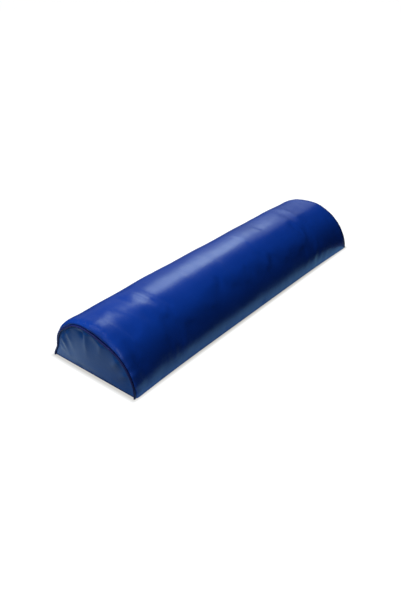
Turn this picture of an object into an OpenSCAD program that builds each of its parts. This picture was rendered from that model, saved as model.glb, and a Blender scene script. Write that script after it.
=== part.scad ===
// Half-round bolster pillow: a foam core in a sewn leatherette cover, closed by a zip along its base.
// X runs along the pillow, Y across it and Z up. The origin is the middle of the base, on the surface
// that the pillow stands on. All sizes are millimetres.

/* [Body] */
// Length of the base, from end seam to end seam
base_l = 643.4; // [600:0.1:720]
// Width of the base at mid-length
base_w = 177; // [160:0.1:190]
// Height of the ridge at mid-length
height = 88.3; // [80:0.1:100]
// How square the rear half of the arch is: 2 is an ellipse, and more is squarer
rear_squareness = 2.5; // [2.2:0.01:3]
// How square its front half is
front_squareness = 1.9; // [1.8:0.01:2.6]
// Share of the height that the arch loses at its ends
end_taper = 0.0394; // [0:0.0001:0.05]
// How much wider each side of the base is at the ends
end_spread = 3.8; // [0:0.1:5]
// How far the rear side leans in above its foot at the ends
rear_tuck = 8; // [0:0.1:9]
// How far each base corner is drawn out past the end
corner_ear = 1; // [0:0.1:5]
// How far the top of each end leans out past its base
end_lean = 2.4; // [0:0.1:4]

/* [Cover] */
// Thickness of the leatherette
skin = 1; // [0.8:0.1:1.2]
// Width of leatherette turned in at a seam
allowance = 10; // [8:0.5:12]
// Least inset of the end seam from the arch's outline, at the base corners
seam_inset_low = 2.6; // [2.4:0.1:3]
// Further inset of the end seam at the rear shoulder
seam_inset_rear = 4.2; // [2:0.1:6]
// Further inset of the end seam in front of the ridge
seam_inset_front = 6.6; // [2:0.1:7]
// Length over which the top panel rolls over the end
roll_l = 9; // [6:0.5:12]
// How far the end panel bulges at its middle
end_bulge = 1.5; // [0:0.1:3]

/* [Piping] */
// Outer diameter of the piping
piping_d = 3.2; // [3:0.1:4]
// Diameter of the filler cord in the piping
piping_cord_d = 1.6; // [1.2:0.1:1.8]

/* [Zip] */
// Depth of the valley in the base that the zip lies in
valley_depth = 4.5; // [4.5:0.1:6]
// Half the valley's width where it starts from the flat base
valley_half_w = 22; // [20:1:26]
// Half the gap between the base panels' folded edges
fold_half_gap = 4.5; // [4.5:0.1:5]
// Half the width of the meshed coil
coil_half_w = 3; // [2.8:0.1:3]
// Height of the coil
coil_h = 2.4; // [2:0.1:2.4]
// Length of the slider
slider_l = 12; // [10:0.5:13]
// Place of the slider along X when the zip is closed
slider_x = 272; // [250:1:274]
// Length of the pull, from its pivot to its tip
pull_l = 24; // [18:1:24]

/* [Sewing] */
// Distance from one stitch hole to the next
stitch = 8; // [6:1:12]
// Thickness of the thread
thread_d = 0.5; // [0.4:0.1:0.6]

/* [Hidden] */

navy = [0.05, 0.12, 0.38];
end_navy = [0.10, 0.17, 0.40];
foam_yellow = [0.93, 0.89, 0.72];
thread_navy = [0.08, 0.14, 0.36];
tape_navy = [0.04, 0.06, 0.16];
nickel = [0.72, 0.73, 0.75];

half_l = base_l / 2;
half_w = base_w / 2;
arch_steps = 28;
arch = [for (i = [0 : arch_steps]) 180 * i / arch_steps];
gap = 0.05;                      // clearance between sewn layers
fold_back = 2;                   // how far the folded edges stop short of the end panel's face
flange = 1.4;                    // thickness of the piping's two-layer flange
stack = flange + skin;           // layers inside the end seam
flat_zip_x = half_l - 34;        // the valley keeps its depth up to here
valley_end_x = half_l - 13;      // and has run out here, clear of the end panel's turned-in rim
notch_x = half_l - fold_back - allowance - 1;  // the base panels' turned-up edges stop here
tape_w = 16;                     // half-width of the two tapes together
tape_t = 0.6;
tape_half_gap = 0.5;
flange_h = 9;                    // height of the base panel's turned-up edge
taper_x = [60, 120, 180, 230, 270, flat_zip_x, 300];  // where the layers have their rings, besides the middle

// --- The arch and its surface -------------------------------------------------------------------

function power(v, p) = sign(v) * pow(abs(v), p);
function ramp(t) = let (c = max(0, min(1, t))) c * c * (3 - 2 * c);

// Share of the end's shape at x, and half the base's width there.
function end_share(x) = pow(min(1, abs(x) / half_l), 5);
function foot_w(x) = half_w + end_spread * end_share(x);

// A point of the arch at x and angle a, moved in by d along the arch's normal. Angle 0 is the rear foot.
function arch_point(x, d, a) =
  let (
    share = end_share(x),
    w = foot_w(x) - (a < 90 ? rear_tuck * share * ramp(a / 10) : 0),
    h = height * (1 - end_taper * pow(min(1, abs(x) / half_l), 4)),
    k = rear_squareness + (front_squareness - rear_squareness) * ramp((a - 60) / 60),
    y = w * power(cos(a), 2 / k),
    z = h * power(sin(a), 2 / k),
    ny = power(y / w, k - 1) / w,
    nz = power(z / h, k - 1) / h,
    n = norm([ny, nz])
  ) [x, y - d * ny / n, max(0, z - d * nz / n)];

// A point of the arch's foot, step 0 or arch_steps, moved up its wall to height z.
function foot_point(x, d, i, z) =
  let (p = arch_point(x, d, arch[i]), q = arch_point(x, d, arch[i == 0 ? 1 : i - 1]))
    p + (q - p) * z / q.z;

// Draws out the base corners and leans the ends, alike for every layer.
function drawn(p) =
  let (
    near_end = pow(abs(p.x) / half_l, 24),
    near_side = pow(min(1, abs(p.y) / foot_w(half_l)), 12),
    corner = near_end * near_side * exp(-p.z / 9),
    lean = end_lean * near_end * min(1, p.z / height)
  ) [p.x + sign(p.x) * (corner_ear * corner + lean), p.y, p.z];

// Inset of the end seam from the arch's outline.
function bell(a, middle, width) = exp(-pow((a - middle) / width, 2));
function seam_inset(a) =
  seam_inset_low + seam_inset_rear * bell(a, 52, 17) + seam_inset_front * bell(a, 106, 21);

// A solid through closed rings of points. Each ring is a ribbon: its point i faces its point n-1-i.
// backhand turns the diagonals of the side faces, so that two lofts that meet can share theirs.
module loft(rings, backhand = false) {
  n = len(rings[0]);
  m = len(rings);
  sides = [
    for (j = [0 : m - 2]) for (i = [0 : n - 1])
      let (k = (i + 1) % n, a = j * n)
        each backhand
          ? [[a + i, a + k, a + n + i], [a + k, a + n + k, a + n + i]]
          : [[a + i, a + k, a + n + k], [a + i, a + n + k, a + n + i]]
  ];
  caps = [
    for (i = [0 : n / 2 - 2])
      let (e = (m - 1) * n, q = n - 1 - i)
        each [[q, i + 1, i], [q, q - 1, i + 1], [e + i, e + i + 1, e + q], [e + i + 1, e + q - 1, e + q]]
  ];
  polyhedron(points = [for (r = rings) each r], faces = concat(sides, caps));
}

// A section in the (x, inset) plane, carried along the arch.
module arch_loft(sections) {
  loft([for (i = [0 : arch_steps]) [for (p = sections[i]) drawn(arch_point(p.x, p.y, arch[i]))]]);
}

// The left copy of a right-hand part, and the rear copy of a front part.
module left() { mirror([1, 0, 0]) children(); }
module rear() { mirror([0, 1, 0]) children(); }

// --- Foam -----------------------------------------------------------------------------------------

// Underside of the foam across its width, with a groove over the zip. It is raised over the end seams.
function foam_floor(y, raised) = abs(y) < 22 ? 11 : raised > 0 ? 3.2 : 1.1;

// Inset of the foam at step i of the arch. At its feet it clears the base panels' turned-up edges.
rear_foot_insets = [4, 3.6];
front_foot_insets = [4, 4.4, 2.2];
function from_foot(i) = min(i, arch_steps - i);
function foot_inset(i) =
  i < 2 ? rear_foot_insets[i] : arch_steps - i < 3 ? front_foot_insets[arch_steps - i] : 0;
function foam_inset(i, raised) =
  max(foot_inset(i), skin + gap + raised * (seam_inset(arch[i]) + stack));
function foam_top(x, i, raised) =
  i % arch_steps == 0
    ? foot_point(x, foam_inset(i, raised), i, flange_h + 1)
    : let (p = arch_point(x, foam_inset(i, raised), arch[i])) [x, p.y, max(p.z, flange_h + 3)];

// The underside's point below step i. These points keep their order across the width.
function foam_bottom(x, i, raised) =
  let (
    top_y = foam_top(x, i, raised).y,
    foot_y = foam_top(x, 2 * i < arch_steps ? 0 : arch_steps, raised).y,
    y = min(abs(top_y), abs(foot_y) - from_foot(i)) - 1
  ) [x, 2 * i == arch_steps ? 0 : sign(top_y) * y, foam_floor(top_y, raised)];

function foam_ring(x, raised) = [
  for (i = [0 : arch_steps]) drawn(foam_top(x, i, raised)),
  for (i = [arch_steps : -1 : 0]) drawn(foam_bottom(x, i, raised))
];

module foam_core() {
  rebate_x = half_l - allowance - fold_back - 1;
  middle = [for (x = concat([0], taper_x)) [x, 0]];
  half = concat(middle, [[rebate_x - 3, 0], [rebate_x, 1], [half_l - fold_back - 0.5, 1]]);
  stations = concat([for (i = [len(half) - 1 : -1 : 1]) [-half[i].x, half[i].y]], half);
  color(foam_yellow) loft([for (s = stations) foam_ring(s.x, s.y)]);
}

// --- Top panel --------------------------------------------------------------------------------------

// One end of the panel's section, from the ridge to the seam: outside line, then inside line.
function roll_outside(a) = [
  for (q = [0 : 22.5 : 90])
    [half_l - fold_back - roll_l * (1 - sin(q)), seam_inset(a) * (1 - cos(q))]
];
function roll_inside(a) = [
  for (q = [0 : 22.5 : 90]) [
    half_l - fold_back - roll_l + (roll_l - skin) * sin(q),
    skin + (seam_inset(a) - 2 * skin) * (1 - cos(q))
  ]
];

function top_line(a) = concat(
  [for (x = taper_x) [x, 0]], roll_outside(a),
  [[half_l - fold_back - allowance, seam_inset(a)]]
);
function top_lining(a) = concat(
  [for (x = taper_x) [x, skin]], roll_inside(a),
  [[half_l - fold_back - allowance, seam_inset(a) - skin]]
);
function flipped(points) = [for (i = [len(points) - 1 : -1 : 0]) points[i]];
function opposite(points) = [for (p = points) [-p.x, p.y]];
function top_section(a) = concat(
  flipped(opposite(top_line(a))), top_line(a),
  flipped(top_lining(a)), opposite(top_lining(a))
);

module top_panel() {
  color(navy) arch_loft([for (a = arch) top_section(a)]);
}

// --- End panels -------------------------------------------------------------------------------------

// The D outline of an end panel, at x, inset by d past the seam; s draws it towards its middle.
function end_ring(x, d, s, floor_z) =
  let (
    mid = [0, height * 0.42],
    bow = end_bulge * (1 - s * s),
    inset = [for (a = arch) seam_inset(a) + flange + gap + d],
    top = [
      for (i = [0 : arch_steps])
        i % arch_steps == 0
          ? foot_point(x, inset[i], i, floor_z + 2)
          : arch_point(x, inset[i], arch[i])
    ],
    low = [for (i = [arch_steps : -1 : 0]) [half_l, top[i].y * 0.999, floor_z]]
  ) [
    for (p = concat(top, low))
      drawn([x + bow, mid.x + (p.y - mid.x) * s, mid.y + (p.z - mid.y) * s])
  ];

module end_panel() {
  face_x = half_l - 0.2;
  floor_z = skin + gap;
  outside = [
    end_ring(half_l - fold_back - allowance, 0, 1, floor_z),
    end_ring(half_l - fold_back, 0, 1, floor_z),
    end_ring(face_x - 0.5, 1.6, 1, floor_z + 0.4),
    end_ring(face_x, 3, 1, floor_z + 1.4),
    end_ring(face_x, 3, 0.7, floor_z + 1.4),
    end_ring(face_x, 3, 0.4, floor_z + 1.4)
  ];
  inside = [
    end_ring(half_l - fold_back - allowance, skin, 1, floor_z + skin),
    end_ring(half_l - fold_back - skin / 2, skin, 1, floor_z + skin),
    end_ring(face_x - 0.5 - skin, 1.6 + skin / 2, 1, floor_z + 0.4 + skin),
    end_ring(face_x - skin, 3 + skin / 2, 1, floor_z + 1.4 + skin),
    end_ring(face_x - skin, 3 + skin / 2, 0.7, floor_z + 1.4 + skin),
    end_ring(face_x - skin, 3 + skin / 2, 0.4, floor_z + 1.4 + skin)
  ];
  loft(concat(flipped(inside), outside));
}

module right_end_panel() { color(end_navy) end_panel(); }
module left_end_panel() { color(end_navy) left() end_panel(); }

// --- Piping -----------------------------------------------------------------------------------------

piping_x = half_l - 0.4;

function circle_points(cx, cd, r, from, to, steps) = [
  for (i = [0 : steps]) let (q = from + (to - from) * i / steps) [cx + r * cos(q), cd + r * sin(q)]
];

// A strip folded in half round the cord, its two layers meeting in the flange.
function sleeve_section(a) =
  let (
    cd = seam_inset(a) + flange / 2 + gap / 2,
    end_x = half_l - fold_back - allowance,
    half_f = flange / 2,
    outer_q = 180 - asin(2 * half_f / piping_d),
    slit = 0.04,
    inner_r = piping_cord_d / 2 + gap,
    inner_q = 180 - asin(slit / inner_r)
  ) concat(
    [[end_x, cd - half_f]], circle_points(piping_x, cd, piping_d / 2, -outer_q, outer_q, 9),
    [[end_x, cd + half_f]], [[end_x, cd + slit]],
    circle_points(piping_x, cd, inner_r, inner_q, -inner_q, 9), [[end_x, cd - slit]]
  );

module piping_sleeve() {
  arch_loft([for (a = arch) sleeve_section(a)]);
}

module piping_cord() {
  arch_loft([
    for (a = arch)
      circle_points(piping_x, seam_inset(a) + (flange + gap) / 2, piping_cord_d / 2, 0, 315, 7)
  ]);
}

module right_piping_sleeve() { color(navy) piping_sleeve(); }
module left_piping_sleeve() { color(navy) left() piping_sleeve(); }
module right_piping_cord() { color("white") piping_cord(); }
module left_piping_cord() { color("white") left() piping_cord(); }

// --- Base panels --------------------------------------------------------------------------------------

// How much of the valley's depth is left at x, and the height of its slope at y.
function valley_share(x) = min(1, max(0, (valley_end_x - abs(x)) / (valley_end_x - flat_zip_x)));
function lift(x, y) =
  valley_depth * valley_share(x) * min(1, max(0, (valley_half_w - abs(y)) / (valley_half_w - 8)));

// The front panel's section: turned-up outer edge, flat, slope and folded inner edge. The edge leans
// in as the arch's wall does at that foot, which is step 0 of the arch for the rear panel.
function base_ring(x, edge_y, edge_h, foot) =
  let (
    wall = foot_point(x, skin + gap, foot, edge_h),
    lean = foot_w(x) - skin - gap - abs(wall.y) + 0.3,
    fold_y = -0.6 - (fold_half_gap - 0.6) * valley_share(x),
    fold_t = abs(x) < valley_end_x ? 2 * skin : skin,
    outside = [
      [edge_y + lean, edge_h], [edge_y, 0], [-valley_half_w, 0], [-16.5, lift(x, 16.5)],
      [-16, lift(x, 16)], [-8, lift(x, 8)], [fold_y, lift(x, 8)]
    ],
    inside = [
      [edge_y + 2 * skin + lean, edge_h], [edge_y + 2 * skin, skin], [-valley_half_w, skin],
      [-16.5, lift(x, 16.5) + skin], [-16, lift(x, 16) + fold_t],
      [-8, lift(x, 8) + fold_t], [fold_y, lift(x, 8) + fold_t]
    ]
  ) [for (p = concat(outside, flipped(inside))) drawn([x, p.x, p.y])];

module base_panel(foot) {
  inner_edge = skin + gap;
  notch_edge = seam_inset_low + stack + 3 * gap;
  half = concat(
    [for (x = concat([0], taper_x, [notch_x - 0.6])) [x, inner_edge, flange_h]],
    [for (x = [notch_x - 0.1, notch_x + 0.4, half_l - 6, half_l - 1]) [x, notch_edge, skin + 0.04]]
  );
  stations = concat([for (i = [len(half) - 1 : -1 : 1]) [-half[i][0], half[i][1], half[i][2]]], half);
  loft([for (s = stations) base_ring(s[0], -foot_w(s[0]) + s[1], s[2], foot)]);
}

module front_base_panel() { color(navy) base_panel(arch_steps); }
module rear_base_panel() { color(navy) rear() base_panel(0); }

// --- Zip --------------------------------------------------------------------------------------------------

tape_z = valley_depth + 2 * skin + gap;          // underside of the tape along the valley
coil_z = tape_z - gap - coil_h;                  // underside of the coil

module zip_tape() {
  half = concat([0], taper_x, [notch_x - 0.6]);
  stations = concat([for (i = [len(half) - 1 : -1 : 1]) -half[i]], half);
  ys = [-tape_w, -8, -tape_half_gap];
  z0 = 2 * skin + gap;
  loft([
    for (x = stations)
      let (raised = abs(x) > flat_zip_x ? z0 + 0.35 : z0)
        concat(
          [for (y = ys) [x, y, lift(x, y) + raised]],
          [for (i = [2 : -1 : 0]) [x, ys[i], lift(x, ys[i]) + raised + tape_t]]
        )
  ], backhand = true);
}

// One half of the meshed coil, with a slot along the middle that the slider's web runs in.
module zip_coil() {
  slot = 0.3;
  end_x = flat_zip_x - 1;
  translate([-end_x, -coil_half_w, coil_z]) cube([2 * end_x, coil_half_w - slot, coil_h]);
}

module front_zip_tape() { color(tape_navy) zip_tape(); }
module rear_zip_tape() { color(tape_navy) rear() zip_tape(); }
module front_zip_coil() { color(tape_navy) zip_coil(); }
module rear_zip_coil() { color(tape_navy) rear() zip_coil(); }

slider_w = 8.4;
outer_plate_top = coil_z - 0.3;
outer_plate_t = 1;
outer_plate_bottom = outer_plate_top - outer_plate_t;
inner_plate_bottom = tape_z + tape_t + 0.3;
inner_plate_t = 0.9;
side_t = 0.9;
bridge_bar_t = 0.8;
bridge_eye = 1.5;                                // height of the opening under the bridge
bridge_half_l = 3.6;
bridge_w = 2;
pivot_r = 0.5;
pivot_z = outer_plate_bottom - bridge_eye / 2;

// A block from one corner to the other, beside the slider's centre.
module block(low, high) {
  translate(low + [slider_x, 0, 0]) cube(high - low);
}

module plate(z, t) {
  r = 1.6;
  translate([slider_x, 0, z]) linear_extrude(t) union() {
    square([slider_l - 2 * r, slider_w], center = true);
    square([slider_l, slider_w - 2 * r], center = true);
    for (sx = [-1, 1], sy = [-1, 1])
      translate([sx * (slider_l / 2 - r), sy * (slider_w / 2 - r)]) circle(r, $fn = 32);
  }
}

module zip_slider() {
  web_half = 0.1;
  color(nickel) union() {
    plate(outer_plate_bottom, outer_plate_t);
    plate(inner_plate_bottom, inner_plate_t);
    for (s = [-1, 1]) {
      low_y = s > 0 ? slider_w / 2 - side_t : -slider_w / 2;
      block([-3.8, low_y, outer_plate_top - 0.2], [3.8, low_y + side_t, tape_z - 0.3]);
    }
    block([0.5, -web_half, outer_plate_top - 0.2], [4.5, web_half, inner_plate_bottom + 0.2]);
    difference() {
      block([-bridge_half_l, -bridge_w / 2, pivot_z - bridge_eye / 2 - bridge_bar_t],
            [bridge_half_l, bridge_w / 2, outer_plate_bottom + 0.2]);
      block([-bridge_half_l + 1, -bridge_w, pivot_z - bridge_eye / 2],
            [bridge_half_l - 1, bridge_w, outer_plate_bottom]);
    }
  }
}

// The pull lies along -X at rest, its crossbar under the slider's bridge.
module zip_pull() {
  half_pull_w = 2.8;
  ring_w = 1.4;
  eye_l = 4.7;
  neck_l = 6.2;
  color(nickel) union() {
    translate([slider_x, -half_pull_w, pivot_z]) rotate([-90, 0, 0])
      cylinder(h = 2 * half_pull_w, r = pivot_r, $fn = 32);
    translate([slider_x, 0, pivot_z - pivot_r]) linear_extrude(2 * pivot_r) difference() {
      union() {
        translate([-neck_l, -half_pull_w]) square([neck_l, 2 * half_pull_w]);
        translate([-pull_l + half_pull_w, -half_pull_w]) square([pull_l - half_pull_w - 5, 2 * half_pull_w]);
        translate([-pull_l + half_pull_w, 0]) circle(half_pull_w, $fn = 48);
      }
      translate([-eye_l, -half_pull_w + ring_w]) square([eye_l + 1, 2 * (half_pull_w - ring_w)]);
      translate([-pull_l + half_pull_w + 1, 0]) circle(1.2, $fn = 32);
    }
  }
}

// --- Thread -------------------------------------------------------------------------------------------------

// A lockstitch thread through a straight seam: it crosses the layers once every stitch.
module straight_thread(points) {
  h = thread_d / 2;
  along_x = abs(points[1].x - points[0].x) > abs(points[1].y - points[0].y);
  u = along_x ? [0, h, 0] : [h, 0, 0];
  v = [0, 0, h];
  loft([for (p = points) [for (c = [-u - v, u - v, u + v, -u + v]) p + c]]);
}

module base_end_thread() {
  count = 2 * floor(half_w * 0.88 / stitch);
  points = [
    for (i = [0 : count])
      [half_l - fold_back - 5, (i - count / 2) * stitch, i % 2 == 0 ? skin - 0.3 : 2 * skin + 0.4]
  ];
  straight_thread(points);
}

// Along a long edge the thread joins the base panel's turned-up edge to the top panel.
edge_thread_z = 3;
module edge_thread() {
  count = 2 * floor((half_l - 24) / stitch);
  points = [
    for (i = [0 : count])
      let (x = (i - count / 2) * stitch, y = -foot_w(x) + (i % 2 == 0 ? 0.75 : 3.2))
        drawn([x, y, edge_thread_z])
  ];
  h = thread_d / 2;
  loft([for (p = points) [for (c = [[0, -h, -h], [0, h, -h], [0, h, h], [0, -h, h]]) p + c]]);
}

module zip_thread() {
  count = 2 * floor((flat_zip_x - 4) / stitch);
  points = [
    for (i = [0 : count])
      [(i - count / 2) * stitch, -11, lift(0, 11) + (i % 2 == 0 ? 0.25 : 2 * skin + tape_t + 0.25)]
  ];
  straight_thread(points);
}

// Along the arch the thread crosses the top panel's allowance, the piping's flange and the end panel's rim.
module arc_thread() {
  h = thread_d / 2;
  x = half_l - fold_back - 5;
  arch_loft([
    for (i = [0 : arch_steps])
      let (d = seam_inset(arch[i]) + (i % 2 == 0 ? -skin + 0.2 : stack - 0.1))
        [[x - h, d - h], [x + h, d - h], [x + h, d + h], [x - h, d + h]]
  ]);
}

module right_arc_thread() { color(thread_navy) arc_thread(); }
module left_arc_thread() { color(thread_navy) left() arc_thread(); }
module right_base_thread() { color(thread_navy) base_end_thread(); }
module left_base_thread() { color(thread_navy) left() base_end_thread(); }
module front_edge_thread() { color(thread_navy) edge_thread(); }
module rear_edge_thread() { color(thread_navy) rear() edge_thread(); }
module front_zip_thread() { color(thread_navy) zip_thread(); }
module rear_zip_thread() { color(thread_navy) rear() zip_thread(); }

foam_core();
top_panel();
left_end_panel();
right_end_panel();
front_base_panel();
rear_base_panel();
left_piping_sleeve();
right_piping_sleeve();
left_piping_cord();
right_piping_cord();
left_arc_thread();
right_arc_thread();
left_base_thread();
right_base_thread();
front_edge_thread();
rear_edge_thread();
front_zip_tape();
rear_zip_tape();
front_zip_coil();
rear_zip_coil();
front_zip_thread();
rear_zip_thread();
zip_slider();
zip_pull();
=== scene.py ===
"""Half-round bolster pillow: a foam core in a sewn leatherette cover, closed by a zip along its base.

Lengths in the shape functions are millimetres, as in the CAD source, and MM turns them into metres.
X runs along the pillow, Y across it and Z up. "across" is the arc length over the arch, from the rear
base edge to the front one.
"""

import math

import bmesh
import bpy
import numpy as np
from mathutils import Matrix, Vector, kdtree


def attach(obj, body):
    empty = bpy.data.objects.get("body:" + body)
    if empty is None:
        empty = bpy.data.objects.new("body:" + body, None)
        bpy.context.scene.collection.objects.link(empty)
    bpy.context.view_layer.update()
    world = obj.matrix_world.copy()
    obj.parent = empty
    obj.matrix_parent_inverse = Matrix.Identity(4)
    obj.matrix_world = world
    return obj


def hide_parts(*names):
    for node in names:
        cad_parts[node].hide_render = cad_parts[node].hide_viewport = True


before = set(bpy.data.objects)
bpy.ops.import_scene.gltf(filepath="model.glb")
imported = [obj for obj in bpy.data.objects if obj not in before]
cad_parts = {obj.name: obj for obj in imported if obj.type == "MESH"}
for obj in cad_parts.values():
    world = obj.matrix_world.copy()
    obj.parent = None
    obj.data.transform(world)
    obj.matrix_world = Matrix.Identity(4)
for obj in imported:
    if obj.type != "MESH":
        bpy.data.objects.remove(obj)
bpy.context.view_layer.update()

MM = 0.001

# Sizes shared with the CAD source.
HALF_L = 321.7
HALF_W = 88.5
HEIGHT = 88.3
REAR_SQUARENESS = 2.5
FRONT_SQUARENESS = 1.9
END_TAPER = 0.0394
END_SPREAD = 3.8
END_LEAN = 2.4
SEAM_INSET_LOW = 2.6
SEAM_INSET_REAR = 4.2
SEAM_INSET_FRONT = 6.6
SKIN = 1.0
ALLOWANCE = 10.0
GAP = 0.05
FOLD_BACK = 2.0
FLANGE = 1.4
FLANGE_H = 9.0
ROLL_L = 9.0
END_BULGE = 1.5
PIPING_R = 1.6
PIPING_CORD_R = 0.8
PIPING_X = HALF_L - 0.4
SEAM_X = HALF_L - FOLD_BACK
TURN_X = SEAM_X - ALLOWANCE
VALLEY_DEPTH = 4.5
VALLEY_HALF_W = 22.0
FLAT_ZIP_X = HALF_L - 34
VALLEY_END_X = HALF_L - 13
FOLD_HALF_GAP = 4.5
TAPE_HALF_W = 16.0
TAPE_T = 0.6
TAPE_HALF_GAP = 0.5
TAPE_Z = VALLEY_DEPTH + 2 * SKIN + GAP
COIL_HALF_W = 3.0
COIL_H = 2.4
COIL_Z = TAPE_Z - GAP - COIL_H
ZIP_STITCH_Y = 11.0

# Shape that only this script has, or that it sets apart from the CAD, to follow the photo more closely.
REAR_TUCK = 6.5
CORNER_EAR = 0.2
FOOT_FLARE = 3.6
ROLL_FULLNESS = 0.7
RIGHT_SEAM_INSET_LOW = 2.2
RIGHT_SEAM_INSET_SHARE = 0.08
RIGHT_PIPING_SCALE = 1.45

# The height that the end panels' rings draw in towards.
END_MIDDLE_Z = HEIGHT * 0.42

# Mesh fineness.
ACROSS_STEPS = 150
ALONG_STEP = 1.8
ROLL_STEPS = 10
BASE_EDGE_STEPS = 6
BASE_FLAT_STEPS = 46

# Colours, each with the colour it turns where it is worn or stands out.
NAVY = (0.0022, 0.024, 0.180, 1)
NAVY_WORN = (0.010, 0.045, 0.240, 1)
# Painted light: the end panels are the same vinyl as the top panel, tinted lighter and greener to stand in
# for the light the ends mirror from the floor and the fill.
END_LIT_BLUE = (0.005, 0.041, 0.165, 1)
END_LIT_BLUE_WORN = (0.016, 0.070, 0.240, 1)
PIPING_NAVY = (0.006, 0.008, 0.055, 1)
# The piping's lighter crown colour is rub wear, and also a painted highlight line along the bead.
PIPING_WORN_AND_HIGHLIGHT = (0.020, 0.022, 0.110, 1)
COTTON = (0.70, 0.67, 0.60, 1)
COTTON_PALE = (0.86, 0.84, 0.78, 1)
THREAD_BLUE = (0.008, 0.024, 0.150, 1)
THREAD_PALE = (0.030, 0.080, 0.330, 1)
TAPE_NAVY = (0.006, 0.010, 0.040, 1)
TAPE_PALE = (0.020, 0.032, 0.110, 1)


# --- The arch and its surface ---------------------------------------------------------------------


def power(value, exponent):
    return np.sign(value) * np.abs(value) ** exponent


def ramp(t):
    """0 below 0, 1 above 1, and smooth between them."""
    t = np.clip(t, 0, 1)
    return t * t * (3 - 2 * t)


def smooth(value, low, high):
    return ramp((value - low) / (high - low))


def end_share(x):
    """Share of the end's shape at x."""
    return np.minimum(1, np.abs(x) / HALF_L) ** 5


def foot_w(x):
    """Half the base's width at x."""
    return HALF_W + END_SPREAD * end_share(x)


def arch_point(x, inset, angle):
    """Points of the arch at x, moved in by inset along the arch's normal. Angle 0 is the rear foot."""
    x, inset, angle = np.broadcast_arrays(x, inset, angle)
    degrees = np.degrees(angle)
    share = end_share(x)
    w = foot_w(x) - np.where(degrees < 90, REAR_TUCK * share * ramp(degrees / 10), 0)
    h = HEIGHT * (1 - END_TAPER * np.minimum(1, np.abs(x) / HALF_L) ** 4)
    k = REAR_SQUARENESS + (FRONT_SQUARENESS - REAR_SQUARENESS) * ramp((degrees - 60) / 60)
    y, z = w * power(np.cos(angle), 2 / k), h * power(np.sin(angle), 2 / k)
    ny, nz = power(y / w, k - 1) / w, power(z / h, k - 1) / h
    size = np.hypot(ny, nz)
    return np.stack([x, y - inset * ny / size, np.maximum(0, z - inset * nz / size)], -1)


def drawn(points):
    """Draws out the base corners, flares the ends' lowest part and leans the ends, alike for every layer."""
    x, y, z = np.moveaxis(np.asarray(points, float), -1, 0)
    near_end = (np.abs(x) / HALF_L) ** 24
    near_side = np.minimum(1, np.abs(y) / foot_w(HALF_L)) ** 12
    corner = near_end * near_side * np.exp(-z / 9)
    lean = END_LEAN * near_end * np.minimum(1, z / HEIGHT)
    flare = FOOT_FLARE * near_end * np.exp(-z / 24)
    return np.stack([x + np.sign(x) * (CORNER_EAR * corner + flare + lean), y, z], -1)


def even_angles(steps):
    """Angles of the arch whose points are evenly spaced along it, and their arc lengths."""
    fine = np.linspace(0, math.pi, 4001)
    line = arch_point(0.0, 0.0, fine)
    arc = np.r_[0, np.cumsum(np.linalg.norm(np.diff(line, axis=0), axis=1))]
    across = np.linspace(0, arc[-1], steps + 1)
    return np.interp(across, arc, fine), across


def seam_inset(angle, x=-1):
    """Inset of the end seam from the arch's outline: deep at the left end, shallow at the right one."""
    degrees = np.degrees(angle)
    rear = SEAM_INSET_REAR * np.exp(-(((degrees - 52) / 17) ** 2))
    front = SEAM_INSET_FRONT * np.exp(-(((degrees - 106) / 21) ** 2))
    left = SEAM_INSET_LOW + rear + front
    right = RIGHT_SEAM_INSET_LOW + RIGHT_SEAM_INSET_SHARE * (rear + front)
    return np.where(np.asarray(x) < 0, left, right)


def ripple(u, v, seed, waves, low, high):
    """A sum of plane waves, between about -1 and 1, with wavelengths from low to high."""
    rng = np.random.default_rng(seed)
    total = 0
    for _ in range(waves):
        length = rng.uniform(low, high)
        turn, phase = rng.uniform(0, math.pi), rng.uniform(0, 2 * math.pi)
        total = total + np.sin(2 * math.pi * (u * math.cos(turn) + v * math.sin(turn)) / length + phase)
    return total / math.sqrt(2 * waves)


# --- Meshes ---------------------------------------------------------------------------------------


def new_object(name, points, faces, material, body="cover", sharp_deg=50):
    """A smooth-shaded mesh object, in metres, that rides on a body."""
    mesh = bpy.data.meshes.new(name)
    mesh.from_pydata((np.asarray(points).reshape(-1, 3) * MM).tolist(), [], faces)
    mesh.update()
    mesh.polygons.foreach_set("use_smooth", [True] * len(mesh.polygons))
    mesh.set_sharp_from_angle(angle=math.radians(sharp_deg))
    made = bpy.data.objects.new(name, mesh)
    bpy.context.scene.collection.objects.link(made)
    made.data.materials.append(material)
    if body:
        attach(made, body)
    return made


def loft_faces(rings, count, start=0):
    """Quads through closed rings, and ribbon caps, where a ring's point i faces its point count-1-i."""
    i = np.arange(count)
    k = (i + 1) % count
    faces = []
    for j in range(rings - 1):
        a = start + j * count
        faces += np.stack([a + i, a + k, a + count + k, a + count + i], 1).tolist()
    last = start + (rings - 1) * count
    for i in range(count // 2 - 1):
        q = count - 1 - i
        faces.append([start + q, start + q - 1, start + i + 1, start + i])
        faces.append([last + i, last + i + 1, last + q - 1, last + q])
    return faces


def loft(name, rings, material, **options):
    """A solid through closed rings of points: rings is an array (rings, points, 3)."""
    return new_object(name, rings, loft_faces(len(rings), len(rings[0])), material, **options)


def tube_rings(path, radius, sides):
    """Rings of a round tube along a path, each starting and ending beside the ring's seam."""
    path = np.asarray(path, float)
    ahead = np.gradient(path, axis=0)
    ahead /= np.linalg.norm(ahead, axis=1, keepdims=True)
    side = np.cross(ahead, [0.13, 0.29, 0.95])
    side /= np.linalg.norm(side, axis=1, keepdims=True)
    up = np.cross(side, ahead)
    q = np.linspace(0, 2 * math.pi, sides, endpoint=False)[None, :, None]
    radius = np.broadcast_to(radius, len(path))[:, None, None]
    return path[:, None] + radius * (np.cos(q) * side[:, None] + np.sin(q) * up[:, None])


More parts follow.
